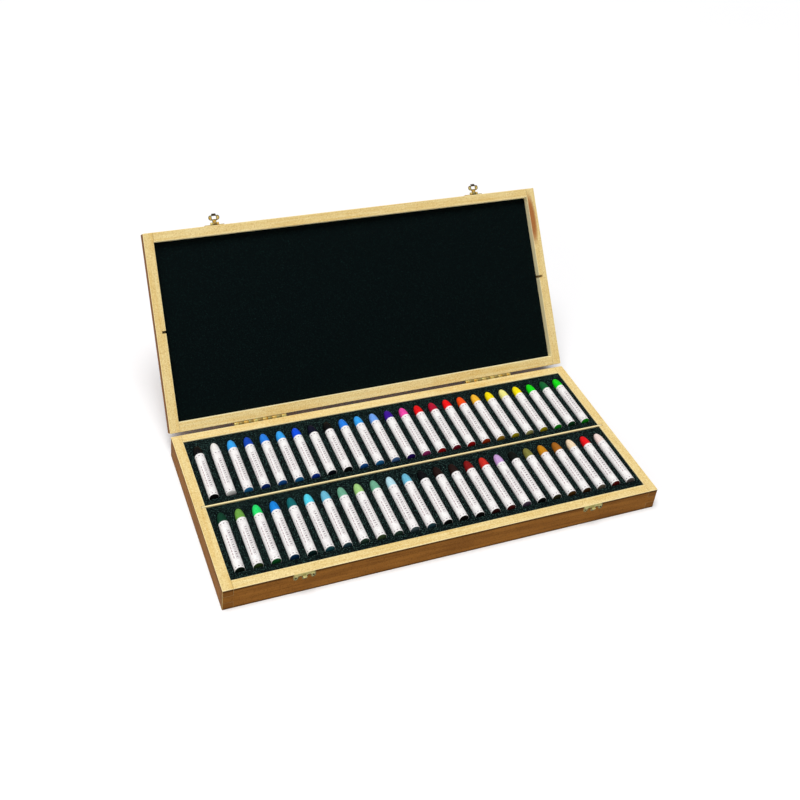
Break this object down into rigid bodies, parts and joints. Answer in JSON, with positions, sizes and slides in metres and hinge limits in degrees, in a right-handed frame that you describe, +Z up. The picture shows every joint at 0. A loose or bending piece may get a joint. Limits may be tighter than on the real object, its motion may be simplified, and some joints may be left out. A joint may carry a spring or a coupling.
{
  "type": "pastel case",
  "caption": "Flat wooden case with a hinged lid, small brass latches and rows of paper-wrapped pastels bedded in dark foam.",
  "frame": {"origin": "centre of the base's underside", "axes": "+X along the case to the right, +Y to the back where the hinges are, +Z up"},
  "size_m": [0.445, 0.3429, 0.1938],
  "materials": {
    "beech": "satin",
    "plywood": "satin",
    "divider_wood": "matte",
    "foam": "matte",
    "lining": "matte",
    "brass": "satin",
    "pastel_black": "matte",
    "pastel_white": "matte",
    "pastel_sky_blue": "matte",
    "pastel_cobalt_blue": "matte",
    "pastel_azure_blue": "matte",
    "pastel_navy_blue": "matte",
    "pastel_periwinkle": "matte",
    "pastel_violet": "matte",
    "pastel_pink": "matte",
    "pastel_red": "matte",
    "pastel_crimson": "matte",
    "pastel_scarlet": "matte",
    "pastel_orange": "matte",
    "pastel_amber": "matte",
    "pastel_yellow": "matte",
    "pastel_pale_yellow": "matte",
    "pastel_green": "matte",
    "pastel_deep_green": "matte",
    "pastel_moss_green": "matte",
    "pastel_teal": "matte",
    "pastel_cyan": "matte",
    "pastel_pale_blue": "matte",
    "pastel_sage_green": "matte",
    "pastel_pale_green": "matte",
    "pastel_ice_blue": "matte",
    "pastel_umber": "matte",
    "pastel_lilac": "matte",
    "pastel_olive": "matte",
    "pastel_ochre": "matte",
    "pastel_brown": "matte",
    "pastel_cream": "matte"
  },
  "bodies": {
    "base": {"base_back_wall": "beech", "base_floor": "plywood", "base_front_wall": "beech", "base_left_wall": "beech", "base_right_wall": "beech", "foam_tray_back": "foam", "foam_tray_front": "foam", "hinge_left_base_leaf": "brass", "hinge_left_pin": "brass", "hinge_right_base_leaf": "brass", "hinge_right_pin": "brass", "latch_left_keeper": "brass", "latch_right_keeper": "brass", "pastels_amber": "pastel_amber", "pastels_azure_blue": "pastel_azure_blue", "pastels_black": "pastel_black", "pastels_brown": "pastel_brown", "pastels_cobalt_blue": "pastel_cobalt_blue", "pastels_cream": "pastel_cream", "pastels_crimson": "pastel_crimson", "pastels_cyan": "pastel_cyan", "pastels_deep_green": "pastel_deep_green", "pastels_green": "pastel_green", "pastels_ice_blue": "pastel_ice_blue", "pastels_lilac": "pastel_lilac", "pastels_moss_green": "pastel_moss_green", "pastels_navy_blue": "pastel_navy_blue", "pastels_ochre": "pastel_ochre", "pastels_olive": "pastel_olive", "pastels_orange": "pastel_orange", "pastels_pale_blue": "pastel_pale_blue", "pastels_pale_green": "pastel_pale_green", "pastels_pale_yellow": "pastel_pale_yellow", "pastels_periwinkle": "pastel_periwinkle", "pastels_pink": "pastel_pink", "pastels_red": "pastel_red", "pastels_sage_green": "pastel_sage_green", "pastels_scarlet": "pastel_scarlet", "pastels_sky_blue": "pastel_sky_blue", "pastels_teal": "pastel_teal", "pastels_umber": "pastel_umber", "pastels_violet": "pastel_violet", "pastels_white": "pastel_white", "pastels_yellow": "pastel_yellow", "row_divider": "divider_wood"},
    "lid": {"hinge_left_lid_leaf": "brass", "hinge_right_lid_leaf": "brass", "latch_left_pin": "brass", "latch_left_plate": "brass", "latch_right_pin": "brass", "latch_right_plate": "brass", "lid_back_wall": "beech", "lid_front_wall": "beech", "lid_left_wall": "beech", "lid_lining": "lining", "lid_panel": "plywood", "lid_right_wall": "beech"},
    "hasp_left": {"latch_left_hasp": "brass"},
    "hasp_right": {"latch_right_hasp": "brass"}
  },
  "joints": [
    {"name": "lid_hinge", "type": "hinge", "parent": "base", "child": "lid", "pos_m": [0, 0.1027, 0.0246], "axis": [-1, 0, 0], "range_deg": [-128, 0]},
    {"name": "hasp_left_hinge", "type": "hinge", "parent": "lid", "child": "hasp_left", "pos_m": [-0.148, 0.23073, 0.18523], "axis": [-1, 0, 0], "range_deg": [-90, 75]},
    {"name": "hasp_right_hinge", "type": "hinge", "parent": "lid", "child": "hasp_right", "pos_m": [0.148, 0.23073, 0.18523], "axis": [-1, 0, 0], "range_deg": [-90, 75]}
  ]
}
